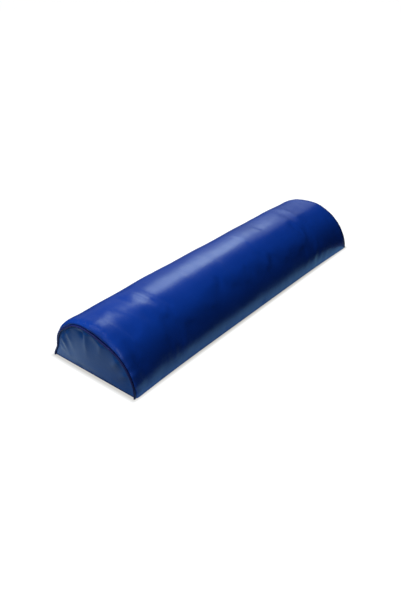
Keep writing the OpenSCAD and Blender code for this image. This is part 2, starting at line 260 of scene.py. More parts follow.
def tubes(name, paths, radius, sides, material, **options):
    """One object of many separate tubes."""
    points, faces, start = [], [], 0
    for path in paths:
        rings = tube_rings(path, radius, sides)
        faces += loft_faces(len(rings), sides, start)
        start += rings.shape[0] * sides
        points.append(rings.reshape(-1, 3))
    return new_object(name, np.concatenate(points), faces, material, **options)


def set_wear(piece, values):
    """How worn each point is, for the materials."""
    values = np.clip(np.asarray(values, np.float32).ravel(), 0, 1)
    piece.data.attributes.new("wear", "FLOAT", "POINT").data.foreach_set("value", values)


def face_outwards(piece):
    """Turns a closed mesh's faces outwards."""
    work = bmesh.new()
    work.from_mesh(piece.data)
    bmesh.ops.recalc_face_normals(work, faces=work.faces)
    work.to_mesh(piece.data)
    work.free()


# --- Camera, floor and light ----------------------------------------------------------------------

# The camera, from a fit of the pillow's outline. VIEW_UNIT is the base's length in metres, and the three
# offsets are in such lengths.
VIEW_AZIMUTH = math.radians(-51.14446)
VIEW_ELEVATION = math.radians(30.86096)
VIEW_UNIT = 0.6434
CAMERA_BACK = 1.788773
CAMERA_RIGHT = -0.0596343
CAMERA_UP = -0.022778
CAMERA_LENS = 36.279
CAMERA_SENSOR = 36.0

# The stage, in metres: half the pillow's outline on the floor, and how far past it the contact shadow and
# the lit strip reach, along X and along Y.
FLOOR_Z = -0.0004
FOOTPRINT = (0.3275, 0.0895)
CONTACT_REACH = (0.0088, 0.008)
STRIP_REACH = (0.130, 0.070)
CONTACT_SHADE = (0.55, 0.53, 0.50, 1)
STRIP_SIDES = (0.26, 0.62, 1.0, 1)
STRIP_END_FRONT = (0.10, 0.13, 0.18, 1)
STRIP_END_REAR = (0.62, 0.84, 1.0, 1)

# Area lights: name, azimuth from +X towards +Y and elevation in degrees, distance, size, watts, colour, and
# whether reflections show them. All aim at LIGHT_TARGET.
LIGHT_TARGET = (0, 0, 0.05)
LIGHTS = (
    ("overhead", 108, 64, 2.4, (1.7, 1.6), 108, (0.85, 0.93, 1.0), False),
    ("back_right", 41, 33, 2.6, (0.86, 0.95), 8.6, (0.68, 0.86, 1.0), True),
    ("back_far", 28, 29, 2.6, (1.1, 0.8), 2.2, (0.74, 0.87, 1.0), True),
    ("rear_wall", 47, 9, 2.8, (2.6, 0.9), 1.7, (0.78, 0.90, 1.0), True),
    ("left_fill", 187, 30, 3.0, (2.4, 2.0), 40, (0.74, 0.92, 1.0), False),
    ("front_catch", 232, 50, 2.4, (0.7, 0.7), 4.0, (0.74, 0.90, 1.0), True),
)


def make_camera():
    a, e = VIEW_AZIMUTH, VIEW_ELEVATION
    back = Vector((math.sin(a) * math.cos(e), -math.cos(a) * math.cos(e), math.sin(e)))
    right = Vector((math.cos(a), math.sin(a), 0))
    up = back.cross(right)
    data = bpy.data.cameras.new("camera")
    data.lens, data.sensor_width = CAMERA_LENS, CAMERA_SENSOR
    camera = bpy.data.objects.new("camera", data)
    bpy.context.scene.collection.objects.link(camera)
    camera.location = (back * CAMERA_BACK + right * CAMERA_RIGHT + up * CAMERA_UP) * VIEW_UNIT
    camera.rotation_mode = "QUATERNION"
    camera.rotation_quaternion = (-back).to_track_quat("-Z", "Y")
    data.clip_start, data.clip_end = 0.05, 200
    bpy.context.scene.camera = camera


def softbox(name, azimuth, elevation, distance, size, watts, colour, in_reflections):
    """A soft area light."""
    data = bpy.data.lights.new(name, "AREA")
    data.shape, data.size, data.size_y = "RECTANGLE", size[0], size[1]
    data.energy, data.color = watts, colour
    lamp = bpy.data.objects.new(name, data)
    bpy.context.scene.collection.objects.link(lamp)
    a, e = math.radians(azimuth), math.radians(elevation)
    way = Vector((math.cos(a) * math.cos(e), math.sin(a) * math.cos(e), math.sin(e)))
    lamp.location = Vector(LIGHT_TARGET) + way * distance
    lamp.rotation_mode = "QUATERNION"
    lamp.rotation_quaternion = (Vector(LIGHT_TARGET) - lamp.location).to_track_quat("-Z", "Y")
    lamp.visible_glossy = in_reflections


def stage_mesh(name, points, faces, material):
    mesh = bpy.data.meshes.new(name)
    mesh.from_pydata(points, [], faces)
    made = bpy.data.objects.new(name, mesh)
    bpy.context.scene.collection.objects.link(made)
    mesh.materials.append(material)
    return made


def glowing(name, colour, glow, roughness=0.6):
    """A pale matt surface with some light of its own, so that it renders as a studio white."""
    material, tree, shader = new_material(name)
    speckle = node(tree, "ShaderNodeTexNoise",
                   {"Vector": object_place(tree), "Scale": 3.0, "Detail": 2.0}).outputs["Fac"]
    tint = mix_colour(tree, speckle, colour, tuple(0.985 * c for c in colour[:3]) + (1,))
    tree.links.new(tint, shader.inputs["Base Color"])
    shader.inputs["Roughness"].default_value = roughness
    shader.inputs["Specular IOR Level"].default_value = 0.1
    shader.inputs["Emission Color"].default_value = (1, 1, 1, 1)
    shader.inputs["Emission Strength"].default_value = glow
    return material


def rectangle(x, y, z):
    return [(-x, -y, z), (x, -y, z), (x, y, z), (-x, y, z)]


def show_only(piece, camera):
    """Shows a stage piece to the camera alone, or to everything but the camera."""
    piece.visible_camera = camera
    for kind in ("diffuse", "glossy", "transmission", "volume_scatter"):
        setattr(piece, "visible_" + kind, not camera)


def beyond_footprint(tree, reaches):
    """0 at the pillow's outline on the floor, and 1 where a reach along X or Y has been covered."""
    place = node(tree, "ShaderNodeSeparateXYZ", {0: object_place(tree)})
    past = []
    for axis in (0, 1):
        size = maths(tree, "ABSOLUTE", place.outputs[axis], 0.0)
        over = maths(tree, "MAXIMUM", maths(tree, "SUBTRACT", size, FOOTPRINT[axis]), 0.0)
        past.append(maths(tree, "POWER", maths(tree, "DIVIDE", over, reaches[axis]), 2.0))
    return maths(tree, "SQRT", maths(tree, "ADD", past[0], past[1]), 0.0)


def floor_white():
    """White, but for the narrow warm contact shadow around the pillow."""
    material = glowing("floor_white", (0.10, 0.10, 0.10, 1), 1.0)
    tree = material.node_tree
    away = spread(tree, beyond_footprint(tree, CONTACT_REACH), 0.0, 1.0, 0.0, 1.0)
    tint = mix_colour(tree, away, CONTACT_SHADE, (1, 1, 1, 1))
    tree.links.new(tint, tree.nodes["Principled BSDF"].inputs["Emission Color"])
    return material


def lit_floor():
    """The strip of lit floor that the pillow mirrors. It fades outwards, and off the ends it is paler at the
    rear.
    """
    material = glowing("floor_strip", (0.2, 0.2, 0.2, 1), 1.0)
    tree = material.node_tree
    place = node(tree, "ShaderNodeSeparateXYZ", {0: object_place(tree)})
    rearwards = spread(tree, place.outputs[1], -0.06, 0.10, 0.0, 1.0)
    ends = mix_colour(tree, rearwards, STRIP_END_FRONT, STRIP_END_REAR)
    off_end = maths(tree, "GREATER_THAN", maths(tree, "ABSOLUTE", place.outputs[0], 0.0), FOOTPRINT[0])
    glow = mix_colour(tree, off_end, STRIP_SIDES, ends)
    fade = spread(tree, beyond_footprint(tree, STRIP_REACH), 0.15, 1.0, 1.0, 0.0)
    tint = mix_colour(tree, fade, (0, 0, 0, 1), glow)
    tree.links.new(tint, tree.nodes["Principled BSDF"].inputs["Emission Color"])
    return material


def backdrop_mesh():
    """Points and faces of a dome round the stage, from just below the floor to overhead."""
    steps, tiers, radius = 32, 9, 28.0
    points, faces = [], []
    for j in range(tiers):
        e = math.radians(-4 + j * 11.5)
        for i in range(steps):
            q = 2 * math.pi * i / steps
            way = (math.cos(q) * math.cos(e), math.sin(q) * math.cos(e), math.sin(e))
            points.append([radius * c for c in way])
    for j in range(tiers - 1):
        for i in range(steps):
            k = (i + 1) % steps
            faces.append([j * steps + i, j * steps + k, (j + 1) * steps + k, (j + 1) * steps + i])
    return points, faces


def make_stage():
    sheet_face = [[0, 1, 2, 3]]
    floor = stage_mesh("floor", rectangle(30.0, 30.0, FLOOR_Z), sheet_face, floor_white())
    # What the pillow sees of the floor: a dim grey sheet, and a lit strip round its foot.
    dim = glowing("floor_grey", (0.16, 0.17, 0.18, 1), 0.0)
    bounce = stage_mesh("floor_bounce", rectangle(0.9, 0.9, FLOOR_Z - 0.0006), sheet_face, dim)
    strip_z = FLOOR_Z - 0.0003
    outer = [edge + reach for edge, reach in zip(FOOTPRINT, STRIP_REACH)]
    strip_faces = [[i, (i + 1) % 4, 4 + (i + 1) % 4, 4 + i] for i in range(4)]
    strip = stage_mesh("floor_strip", rectangle(*FOOTPRINT, strip_z) + rectangle(*outer, strip_z),
                       strip_faces, lit_floor())
    # A pale dome, so that the side views have a plain background too.
    dome = stage_mesh("backdrop", *backdrop_mesh(), glowing("backdrop_white", (0.2, 0.2, 0.2, 1), 1.0))
    for piece in (floor, dome):
        show_only(piece, True)
    for piece in (bounce, strip):
        show_only(piece, False)
    for piece in (bounce, strip, dome):
        piece.visible_shadow = False


def make_light():
    world = bpy.data.worlds.new("studio")
    world.use_nodes = True
    background = world.node_tree.nodes["Background"]
    background.inputs["Color"].default_value = (0.95, 0.97, 1.0, 1)
    background.inputs["Strength"].default_value = 0.007
    bpy.context.scene.world = world
    for light in LIGHTS:
        softbox(*light)
    bpy.context.scene.view_settings.view_transform = "Standard"


# --- Materials ------------------------------------------------------------------------------------


def new_material(name):
    material = bpy.data.materials.new(name)
    material.use_nodes = True
    tree = material.node_tree
    return material, tree, tree.nodes["Principled BSDF"]


def node(tree, kind, inputs=None, **settings):
    """A shader node. An input is a number, a colour or another node's socket."""
    made = tree.nodes.new(kind)
    for key, value in settings.items():
        setattr(made, key, value)
    for key, value in (inputs or {}).items():
        if isinstance(value, bpy.types.NodeSocket):
            tree.links.new(value, made.inputs[key])
        else:
            made.inputs[key].default_value = value
    return made


def object_place(tree):
    return node(tree, "ShaderNodeTexCoord").outputs["Object"]


def stretched(tree, place, scale):
    return node(tree, "ShaderNodeMapping", {"Vector": place, "Scale": scale}).outputs["Vector"]


def mix_colour(tree, share, first, second):
    made = tree.nodes.new("ShaderNodeMix")
    made.data_type = "RGBA"
    for socket, value in ((made.inputs[0], share), (made.inputs[6], first), (made.inputs[7], second)):
        if isinstance(value, bpy.types.NodeSocket):
            tree.links.new(value, socket)
        else:
            socket.default_value = value
    return made.outputs[2]


def spread(tree, value, low, high, to_low, to_high):
    """A value from low..high moved to to_low..to_high, and held there."""
    made = node(tree, "ShaderNodeMapRange", {"Value": value, "From Min": low, "From Max": high,
                                             "To Min": to_low, "To Max": to_high})
    return made.outputs["Result"]


def maths(tree, operation, first, second):
    made = node(tree, "ShaderNodeMath", {0: first, 1: second}, operation=operation)
    return made.outputs[0]


def bump(tree, height, depth, after=None):
    """A bump whose height of 1 stands depth metres out."""
    made = node(tree, "ShaderNodeBump", {"Height": height, "Distance": depth, "Strength": 1.0})
    if after is not None:
        tree.links.new(after, made.inputs["Normal"])
    return made.outputs["Normal"]


def noise(tree, place, scale, detail=3.0, roughness=0.5):
    made = node(tree, "ShaderNodeTexNoise", {"Vector": place, "Scale": scale, "Detail": detail,
                                             "Roughness": roughness})
    return made.outputs["Fac"]


def waves(tree, place, scale, distortion, direction):
    made = node(tree, "ShaderNodeTexWave", {"Vector": place, "Scale": scale, "Distortion": distortion,
                                            "Detail": 1.0}, wave_type="BANDS", bands_direction=direction)
    return made.outputs["Fac"]


def leatherette(name, colour, worn, roughness=0.34, coat=0.25, grain_depth=0.00003):
    """Soft PVC leatherette: fine pebble grain, faint stretch streaks, uneven gloss and worn edges."""
    material, tree, shader = new_material(name)
    place = object_place(tree)
    wear = node(tree, "ShaderNodeAttribute", attribute_name="wear").outputs["Fac"]
    patches = noise(tree, place, 11.0, 4.0, 0.6)
    streaks = noise(tree, stretched(tree, place, (70.0, 12.0, 12.0)), 1.0, 5.0, 0.65)
    blotched = mix_colour(tree, spread(tree, patches, 0.35, 0.7, 0, 0.35), colour,
                          tuple(c * 1.35 for c in colour[:3]) + (1,))
    share = maths(tree, "MULTIPLY", wear, spread(tree, streaks, 0.3, 0.7, 0.35, 1.0))
    tree.links.new(mix_colour(tree, share, blotched, worn), shader.inputs["Base Color"])

    gloss = spread(tree, maths(tree, "ADD", patches, streaks), 0.7, 1.35, roughness - 0.05, roughness + 0.07)
    dulled = maths(tree, "ADD", gloss, maths(tree, "MULTIPLY", wear, 0.10))
    tree.links.new(dulled, shader.inputs["Roughness"])
    shader.inputs["Specular IOR Level"].default_value = 0.5
    shader.inputs["Coat Weight"].default_value = coat
    shader.inputs["Coat Roughness"].default_value = 0.22

    pebbles = node(tree, "ShaderNodeTexVoronoi", {"Vector": place, "Scale": 900.0, "Randomness": 0.9},
                   feature="SMOOTH_F1").outputs["Distance"]
    creasing = noise(tree, place, 260.0, 3.0, 0.6)
    normal = bump(tree, streaks, 0.00022)
    normal = bump(tree, creasing, 0.00009, normal)
    normal = bump(tree, pebbles, grain_depth, normal)
    tree.links.new(normal, shader.inputs["Normal"])
    tree.links.new(normal, shader.inputs["Coat Normal"])
    return material


def woven(name, colour, pale, along, across, depth, roughness=0.75):
    """A plain weave of threads along X and Y."""
    material, tree, shader = new_material(name)
    place = object_place(tree)
    cloth = maths(tree, "MULTIPLY", waves(tree, place, along, 0.4, "X"), waves(tree, place, across, 0.4, "Y"))
    fuzz = noise(tree, place, 700.0, 3.0, 0.6)
    tint = mix_colour(tree, spread(tree, maths(tree, "ADD", cloth, fuzz), 0.3, 1.5, 0, 1), colour, pale)
    tree.links.new(tint, shader.inputs["Base Color"])
    dullness = spread(tree, fuzz, 0.3, 0.7, roughness - 0.08, roughness + 0.08)
    tree.links.new(dullness, shader.inputs["Roughness"])
    shader.inputs["Sheen Weight"].default_value = 0.3
    tree.links.new(bump(tree, fuzz, 0.00003, bump(tree, cloth, depth)), shader.inputs["Normal"])
    return material


def twisted_thread(name, colour, pale):
    """Sewing thread: two plies that show as slanting bands."""
    material, tree, shader = new_material(name)
    place = object_place(tree)
    plies = waves(tree, place, 420.0, 1.0, "DIAGONAL")
    fuzz = noise(tree, place, 1800.0, 2.0, 0.6)
    tint = mix_colour(tree, maths(tree, "MULTIPLY", plies, fuzz), colour, pale)
    tree.links.new(tint, shader.inputs["Base Color"])
    tree.links.new(spread(tree, fuzz, 0.3, 0.7, 0.5, 0.7), shader.inputs["Roughness"])
    shader.inputs["Sheen Weight"].default_value = 0.2
    tree.links.new(bump(tree, plies, 0.00006), shader.inputs["Normal"])
    return material


def nickel(name):
    """Nickel-plated zinc: bright, with fine scratches and dull patches."""
    material, tree, shader = new_material(name)
    place = object_place(tree)
    patches = noise(tree, place, 160.0, 4.0, 0.6)
    scratches = noise(tree, stretched(tree, place, (120.0, 2600.0, 2600.0)), 1.0, 3.0, 0.7)
    tint = mix_colour(tree, patches, (0.60, 0.60, 0.59, 1), (0.72, 0.71, 0.69, 1))
    tree.links.new(tint, shader.inputs["Base Color"])
    shader.inputs["Metallic"].default_value = 1.0
    blend = maths(tree, "ADD", patches, scratches)
    tree.links.new(spread(tree, blend, 0.6, 1.4, 0.18, 0.36), shader.inputs["Roughness"])
    tree.links.new(bump(tree, scratches, 0.000012), shader.inputs["Normal"])
    return material


def foam(name):
    """Open-cell polyurethane foam, cream where it is fresh and yellower where air has reached it, with
    painted shade in its pores.
    """
    material, tree, shader = new_material(name)
    place = object_place(tree)
    cells = node(tree, "ShaderNodeTexVoronoi", {"Vector": place, "Scale": 700.0},
                 feature="F1").outputs["Distance"]
    patches = noise(tree, place, 14.0, 4.0, 0.6)
    tint = mix_colour(tree, patches, (0.82, 0.75, 0.50, 1), (0.88, 0.84, 0.68, 1))
    # Painted shade: the pores' hollows are coloured a darker brown.
    shaded_pores = mix_colour(tree, spread(tree, cells, 0.2, 0.6, 0, 1), (0.60, 0.52, 0.33, 1), tint)
    tree.links.new(shaded_pores, shader.inputs["Base Color"])
    tree.links.new(spread(tree, cells, 0, 0.6, 0.95, 0.85), shader.inputs["Roughness"])
    tree.links.new(bump(tree, cells, 0.0006), shader.inputs["Normal"])
    return material


def coil_plastic(name):
    """Dull navy polyester monofilament."""
    material, tree, shader = new_material(name)
    place = object_place(tree)
    patches = noise(tree, place, 240.0, 3.0, 0.6)
    tint = mix_colour(tree, patches, (0.010, 0.016, 0.055, 1), (0.024, 0.036, 0.100, 1))
    tree.links.new(tint, shader.inputs["Base Color"])
    tree.links.new(spread(tree, patches, 0.3, 0.7, 0.32, 0.50), shader.inputs["Roughness"])
    tree.links.new(bump(tree, noise(tree, place, 1500.0), 0.00002), shader.inputs["Normal"])
    return material


def make_materials():
    return {
        "cover": leatherette("cover_leatherette", NAVY, NAVY_WORN),
        # The end panels' colour is a painted lit copy of the cover's navy vinyl.
        "end": leatherette("end_leatherette", END_LIT_BLUE, END_LIT_BLUE_WORN, roughness=0.37),
        "base": leatherette("base_leatherette", NAVY, NAVY_WORN, roughness=0.42, coat=0.15),
        "piping": leatherette("piping_leatherette", PIPING_NAVY, PIPING_WORN_AND_HIGHLIGHT, roughness=0.45, coat=0.05),
        "filler": woven("cotton_cord", COTTON, COTTON_PALE, 300.0, 300.0, 0.0001),
        "foam": foam("foam"),
        "thread": twisted_thread("sewing_thread", THREAD_BLUE, THREAD_PALE),
        "tape": woven("zip_tape", TAPE_NAVY, TAPE_PALE, 190.0, 240.0, 0.00012),
        "coil": coil_plastic("zip_coil"),
        "metal": nickel("zip_metal"),
    }


# --- The cover's surface: wrinkles, creases and puckers --------------------------------------------

# Creases over the ridge: x where each starts and ends, its arc lengths there, its height, and how far
# it reaches towards -X and towards +X.
CREASES = (
    (-208, -213, 118, 176, 0.55, 26, 4),
    (-113, -117, 126, 160, 0.40, 22, 4),
    (-30, -42, 120, 205, 0.45, 28, 5),
    (66, 57, 110, 182, 0.75, 4, 30),
    (127, 119, 112, 165, -0.55, 5, 22),
    (243, 226, 115, 172, 0.60, 24, 4),
    (-206, -211, 186, 199, 0.50, 4, 6),
    (-262, -250, 150, 190, 0.45, 14, 7),
    (-296, -284, 160, 214, 0.50, 9, 6),
    (180, 172, 60, 120, 0.40, 8, 26),
    (10, 2, 40, 104, 0.35, 22, 8),
    (-160, -152, 30, 96, 0.35, 8, 24),
)


def crease(x, across, spec):
    x_from, x_to, start, end, height, reach_low, reach_high = spec
    t = np.clip((across - start) / (end - start), 0, 1)
    away = x - (x_from + (x_to - x_from) * t)
    reach = np.where(away < 0, reach_low, reach_high)
    soft_end = 0.35 * (end - start)
    along = smooth(across, start - soft_end, start + soft_end)
    along = along * (1 - smooth(across, end - soft_end, end + soft_end))
    return height * along * np.exp(-np.abs(away / reach) ** 1.35)


def pucker_share(x, reach):
    """How strongly the end seam draws the panel in at x."""
    return np.exp(-np.maximum(0, SEAM_X - np.abs(x)) / reach)


def cover_relief(x, across):
    """How far the top panel stands out from the plain arch, and how worn it is."""
    arc = across.max()
    slow = 0.42 * ripple(x, 1.6 * across, 11, 6, 110, 260)
    quick = 0.10 * ripple(x, 0.5 * across, 23, 8, 24, 60)
    folds = sum(crease(x, across, spec) for spec in CREASES)
    side = np.sign(x)
    gathers = ripple(across + 4 * side, side * 37, 5, 5, 11, 24)
    wide = ripple(across, side * 90, 7, 4, 30, 60)
    ends = 0.45 * gathers * pucker_share(x, 8) + 0.50 * wide * pucker_share(x, 26)
    ends = ends * np.where(x < 0, 1.0, 0.5)
    foot = np.minimum(across, arc - across)
    edge = 0.30 * ripple(x, 0 * x, 31, 6, 18, 55) * np.exp(-foot / 14) * smooth(foot, 0, 5)
    drawn_in = -0.5 * np.exp(-foot / 5) * smooth(foot, 0, 3)
    edge_line = smooth(foot, 0, 6)
    puff = 1.2 + np.where(x < 0, 1.2, 0.8) * np.exp(-(((SEAM_X - 8 - np.abs(x)) / 14) ** 2))
    relief = (slow + quick + folds + puff) * smooth(foot, 2, 30) + ends * edge_line + edge + drawn_in
    worn = 0.55 * pucker_share(x, 5) + 0.45 * np.exp(-foot / 4) + 0.5 * np.clip(np.abs(folds) - 0.25, 0, 1)
    return relief, worn


def grid_normals(grid):
    """Outward unit normals of a grid of points (across, along)."""
    normals = np.cross(np.gradient(grid, axis=0), np.gradient(grid, axis=1))
    normals /= np.linalg.norm(normals, axis=-1, keepdims=True) + 1e-12
    return normals


# --- Cloth run ------------------------------------------------------------------------------------

# The run's mesh size, the largest move that is kept, the share of it that is used, and its settings.
SIM_VOXEL = 6.0
SIM_CAP = 1.4
SIM_SHARE = 0.8
SIM_PRESSURE = 4.0
SIM_FRAMES = 20
SIM_GROWTH = -0.012
SIM_PIN_HEIGHT = 5
SIM_PIN_REACH = 9


def cover_body():
    """The whole cover as one closed shape, for the cloth run."""
    angles, _ = even_angles(60)
    stations = np.r_[-HALF_L + 0.5, np.linspace(-HALF_L + 4, HALF_L - 4, 80), HALF_L - 0.5]
    rings = []
    for x in stations:
        inset = 1.0 + 4.0 * smooth(abs(x), HALF_L - 5, HALF_L)
        top = arch_point(x, inset, angles)
        low = top[::-1] * [1, 0.998, 0]
        top[:, 2] = np.maximum(top[:, 2], 2)
        rings.append(drawn(np.concatenate([top, low])))
    return np.array(rings)


def simulate_cover():
    """Blows the cover up against its seams. Returns where its points were, their moves, and normals."""
    body = loft("cloth_run", cover_body(), None, body=None)
    face_outwards(body)
    bpy.context.view_layer.objects.active = body
    remesh = body.modifiers.new("remesh", "REMESH")
    remesh.mode, remesh.voxel_size = "VOXEL", SIM_VOXEL * MM
    bpy.ops.object.modifier_apply(modifier="remesh")
    mesh = body.data
    before = np.array([v.co for v in mesh.vertices]) / MM
    normals = np.array([v.normal for v in mesh.vertices])
    x, y, z = before.T
    outline = np.abs(x) > HALF_L - SIM_PIN_REACH
    upright = np.abs(normals[:, 0]) > 0.8
    pins = (z < SIM_PIN_HEIGHT) | (outline & ~upright)
    group = body.vertex_groups.new(name="pins")
    group.add(np.flatnonzero(pins).tolist(), 1.0, "REPLACE")
    cloth = body.modifiers.new("cloth", "CLOTH")
    settings = cloth.settings
    settings.quality = 6
    settings.mass = 0.3
    settings.tension_stiffness = settings.compression_stiffness = 15
    settings.shear_stiffness = 8
    settings.bending_stiffness = 2.0
    settings.vertex_group_mass = "pins"
    settings.use_pressure = True
    settings.uniform_pressure_force = SIM_PRESSURE
    settings.shrink_min = SIM_GROWTH
    settings.effector_weights.gravity = 0
    cloth.collision_settings.use_collision = False
    scene = bpy.context.scene
    for number in range(1, SIM_FRAMES + 1):
        scene.frame_set(number)
    bpy.ops.object.modifier_apply(modifier="cloth")
    after = np.array([v.co for v in body.data.vertices]) / MM
    scene.frame_set(1)
    bpy.data.objects.remove(body)
    move = ((after - before) * normals).sum(1)
    return before, move, normals


class ClothMoves:
    """The cloth run's moves along the surface's normal, read off anywhere on the cover."""

    def __init__(self):
        self.tree = None
        before, move, normals = simulate_cover()
        top = normals[:, 2] > 0.2
        level = np.median(move[top & (np.abs(before[:, 0]) < 250)])
        self.moves = np.clip(move - level, -SIM_CAP, SIM_CAP)
        self.tree = kdtree.KDTree(len(before))
        for i, p in enumerate(before):
            self.tree.insert(p, i)
        self.tree.balance()
        spread_of_moves = np.round(np.percentile(move, [1, 25, 75, 99]), 2)
        print("cloth run: level", round(float(level), 2), "spread", spread_of_moves)

    def at(self, points, count=8):
        if self.tree is None:
            return np.zeros(points.shape[:-1])
        out = []
        for p in points.reshape(-1, 3):
            found = self.tree.find_n(p, count)
            weights = [1 / (d + 2) ** 2 for _, _, d in found]
            out.append(sum(w * self.moves[i] for w, (_, i, _) in zip(weights, found)) / sum(weights))
        return np.array(out).reshape(points.shape[:-1])


# --- Top panel ------------------------------------------------------------------------------------


def top_line(inner):
    """x, share of the seam inset, and depth, from one turned-in edge to the other."""
    q = np.linspace(0, math.pi / 2, ROLL_STEPS + 1)
    reach = ROLL_L - (SKIN if inner else 0)
    roll_x = SEAM_X - ROLL_L + reach * power(np.sin(q), ROLL_FULLNESS)
    middle = np.linspace(0, roll_x[0], int(round(roll_x[0] / ALONG_STEP)) + 1)
    turned = np.linspace(roll_x[-1], TURN_X, 5)[1:]
    x = np.concatenate([middle[:-1], roll_x, turned])
    share = np.concatenate([0 * middle[:-1], 1 - power(np.cos(q), ROLL_FULLNESS), 0 * turned + 1])
    x = np.concatenate([-x[:0:-1], x])
    share = np.concatenate([share[:0:-1], share])
    return x, share


def top_surface(inner, moves):
    angles, across = even_angles(ACROSS_STEPS)
    x, share = top_line(inner)
    a, s = angles[:, None], across[:, None]
    inset = seam_inset(a, x[None, :])
    depth = SKIN + (inset - 2 * SKIN) * share if inner else inset * share
    plain = arch_point(x[None, :], depth, a)
    normals = grid_normals(arch_point(x[None, :] * 0.97, 0.0, a))
    roll_start = SEAM_X - ROLL_L
    tucked = (np.abs(x) >= roll_start) & (share > 0.02)
    lean = np.where(tucked, share, 0)[None, :, None] * np.sign(x)[None, :, None] * [1.0, 0, 0]
    normals = normals * (1 - 0.85 * np.where(tucked, share, 0)[None, :, None]) + lean
    normals /= np.linalg.norm(normals, axis=-1, keepdims=True)
    relief, worn = cover_relief(*np.broadcast_arrays(x[None, :], s))
    fade = 1 - smooth(share, 0.55, 0.98)
    ridge = np.exp(-(((s / s.max() - 0.42) / 0.2) ** 2))
    calm = 1 - np.where(x < 0, 0.4, 0.8) * smooth(np.abs(x), 150, 280)
    relief = (relief + moves * (SIM_SHARE - 0.42 * ridge) * calm) * fade[None, :]
    return drawn(plain + normals * relief[..., None]), worn * np.ones_like(relief)


def top_moves(cloth):
    """The cloth run's moves at the top panel's points."""
    angles, _ = even_angles(ACROSS_STEPS)
    x, share = top_line(False)
    step = 2
    sparse = arch_point(x[None, ::step], 0.0, angles[::step, None])
    found = cloth.at(sparse)
    rows = np.array([np.interp(np.arange(len(x)), np.arange(0, len(x), step), row) for row in found])
    every = np.arange(len(angles))
    return np.array([np.interp(every, every[::step], column) for column in rows.T]).T


def make_top_panel(materials, cloth):
    moves = top_moves(cloth)
    outer, worn = top_surface(False, moves)
    inner, _ = top_surface(True, moves)
    rings = np.concatenate([outer, inner[:, ::-1]], 1)
    panel = loft("top_panel_cover", rings, materials["cover"])
    face_outwards(panel)
    set_wear(panel, np.concatenate([worn, worn[:, ::-1]], 1))
    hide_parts("top_panel")
    return panel


# --- End panels -----------------------------------------------------------------------------------

# Folds of each end panel: where each starts and ends (y, z), its height and its half-width.
LEFT_FOLDS = (
    ((69, 51), (51, 17), 1.3, 5),
    ((57, 63), (41, 35), 0.7, 5),
    ((20, 76), (14, 60), -1.0, 5),
    ((11, 79), (9, 36), 0.8, 6),
    ((72, 27), (56, 16), 0.7, 5),
    ((-24, 72), (-18, 46), 0.6, 7),
    ((-62, 56), (-42, 34), 0.8, 7),
    ((-77, 36), (-52, 20), 0.5, 6),
    ((-40, 12), (30, 14), 0.4, 9),
)
RIGHT_FOLDS = (
    ((64, 54), (44, 30), 0.9, 6),
    ((30, 74), (22, 48), 0.7, 6),
    ((-8, 78), (-6, 50), -0.7, 6),
    ((-46, 67), (-34, 40), 0.8, 6),
    ((-74, 40), (-52, 22), 0.9, 6),
    ((-30, 12), (36, 11), 0.4, 9),
)


def fold(y, z, spec):
    (y0, z0), (y1, z1), height, half_w = spec
    span = np.array([y1 - y0, z1 - z0])
    length = np.hypot(*span)
    along = ((y - y0) * span[0] + (z - z0) * span[1]) / length**2
    t = np.clip(along, 0, 1)
    away = np.hypot(y - y0 - t * span[0], z - z0 - t * span[1])
    fading = 1 - 0.8 * smooth(t, 0.3, 1.0)
    return height * fading * np.exp(-((away / half_w) ** 1.6))


def end_ring(x, inset, s, floor_z, angles, side):
    """The outline of an end panel at x, inset past the seam and drawn towards its middle by s."""
    top = arch_point(x, seam_inset(angles, side) + FLANGE + GAP + inset, angles)
    low = top[::-1] * [1, 0.999, 0] + [0, 0, floor_z]
    top[:, 2] = np.maximum(top[:, 2], floor_z + 2)
    ring = np.concatenate([top, low])
    ring[:, 0] = x + END_BULGE * (1 - s * s)
    ring[:, 1] *= s
    ring[:, 2] = END_MIDDLE_Z + (ring[:, 2] - END_MIDDLE_Z) * s
    return ring


def end_relief(ring, s, side, seed):
    """How far an end panel stands out at a ring's points."""
    y, z = ring[:, 1], ring[:, 2]
    turn = np.arctan2(z - END_MIDDLE_Z, y / 2) * 60
    rim = 0.45 * ripple(turn, 0 * turn, seed, 5, 9, 20) * np.exp(-(1 - s) / 0.10)
    broad = 0.9 * ripple(y, z, seed + 1, 5, 45, 120) * smooth(1 - s, 0.02, 0.35)
    folds = sum(fold(y, z, spec) for spec in (LEFT_FOLDS if side < 0 else RIGHT_FOLDS))
    return 1.3 * rim + broad + 2.2 * folds * smooth(1 - s, 0.0, 0.10)


def make_end_panel(name, side, materials):
    angles, _ = even_angles(110)
    face_x = HALF_L - 0.2
    floor_z = SKIN + GAP
    shares = np.linspace(1, 0.03, 36)

    def layer(deep):
        d = SKIN if deep else 0
        low = floor_z + d
        rings = [
            end_ring(TURN_X, d, 1, low, angles, side),
            end_ring(SEAM_X - d / 2, d, 1, low, angles, side),
            end_ring(face_x - 0.9 - d * 0.8, 0.5 + d * 0.9, 1, low + 0.1, angles, side),
            end_ring(face_x - 0.4 - d, 1.5 + d * 0.7, 1, low + 0.4, angles, side),
        ]
        for s in shares:
            ring = end_ring(face_x - d, 3 + d / 2, s, low + 1.4, angles, side)
            ring[:, 0] += end_relief(ring, s, side, 41 if side < 0 else 61) * smooth(1 - s, -0.01, 0.03)
            rings.append(ring)
        return rings

    rings = np.array(layer(True)[::-1] + layer(False))
    rings = drawn(rings) * [side, 1, 1]
    panel = loft(name + "_end_cover", rings, materials["end"])
    face_outwards(panel)
    rim = np.concatenate([shares[::-1], [1] * 8, shares])
    set_wear(panel, np.repeat(np.exp(-(1 - rim) / 0.05) * 0.7, rings.shape[1]))
    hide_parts(name + "_end_panel")
    return panel


# --- Piping ---------------------------------------------------------------------------------------


